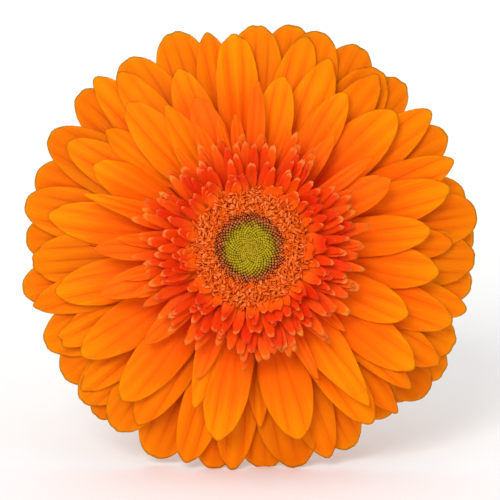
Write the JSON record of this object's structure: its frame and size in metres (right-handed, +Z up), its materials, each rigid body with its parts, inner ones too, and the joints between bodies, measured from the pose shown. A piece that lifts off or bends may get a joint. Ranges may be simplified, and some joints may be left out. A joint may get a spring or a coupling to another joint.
{
  "type": "cut gerbera",
  "caption": "Cut double gerbera with bright orange ray florets, a red-orange collar of short florets and a green eye, lying on its side with its bare stem behind it.",
  "frame": {"origin": "middle of the flower's base box, on the surface it lies on", "axes": "+Z up, the flower faces -Y and slightly up, the stem runs towards +Y"},
  "size_m": [0.11, 0.317, 0.1052],
  "materials": {
    "front_petal": "satin",
    "middle_petal": "satin",
    "back_petal": "satin",
    "inner_petal": "satin",
    "trans_floret": "satin",
    "open_disc_floret": "matte",
    "closed_disc_bud": "matte",
    "pappus": "matte",
    "bract_green": "matte",
    "stem_green": "matte"
  },
  "bodies": {
    "root": {"ray_florets_back": "back_petal", "ray_floret_middle_01": "middle_petal", "ray_floret_middle_02": "middle_petal", "ray_floret_middle_03": "middle_petal", "ray_floret_middle_04": "middle_petal", "ray_floret_middle_05": "middle_petal", "ray_floret_middle_06": "middle_petal", "ray_floret_middle_07": "middle_petal", "ray_floret_middle_08": "middle_petal", "ray_floret_middle_09": "middle_petal", "ray_floret_middle_10": "middle_petal", "ray_floret_middle_11": "middle_petal", "ray_floret_middle_12": "middle_petal", "ray_floret_middle_13": "middle_petal", "ray_floret_middle_14": "middle_petal", "ray_floret_middle_15": "middle_petal", "ray_floret_middle_16": "middle_petal", "ray_floret_middle_17": "middle_petal", "ray_floret_middle_18": "middle_petal", "ray_floret_middle_19": "middle_petal", "ray_floret_middle_20": "middle_petal", "ray_floret_middle_21": "middle_petal", "ray_floret_middle_22": "middle_petal", "ray_floret_front_01": "front_petal", "ray_floret_front_02": "front_petal", "ray_floret_front_03": "front_petal", "ray_floret_front_04": "front_petal", "ray_floret_front_05": "front_petal", "ray_floret_front_06": "front_petal", "ray_floret_front_07": "front_petal", "ray_floret_front_08": "front_petal", "ray_floret_front_09": "front_petal", "ray_floret_front_10": "front_petal", "ray_floret_front_11": "front_petal", "ray_floret_front_12": "front_petal", "ray_floret_front_13": "front_petal", "ray_floret_front_14": "front_petal", "ray_floret_front_15": "front_petal", "ray_floret_front_16": "front_petal", "ray_floret_front_17": "front_petal", "ray_floret_front_18": "front_petal", "ray_floret_front_19": "front_petal", "ray_floret_front_20": "front_petal", "ray_floret_front_21": "front_petal", "ray_floret_front_22": "front_petal", "ray_floret_front_23": "front_petal", "ray_floret_front_24": "front_petal", "ray_floret_front_25": "front_petal", "ray_florets_inner": "inner_petal", "trans_florets_outer": "trans_floret", "trans_florets_middle": "trans_floret", "trans_florets_inner": "trans_floret", "disc_florets_open": "open_disc_floret", "disc_buds": "closed_disc_bud", "ovaries_and_pappus": "pappus", "receptacle": "bract_green", "bracts_inner": "bract_green", "bracts_outer": "bract_green", "stem": "stem_green"}
  },
  "joints": []
}
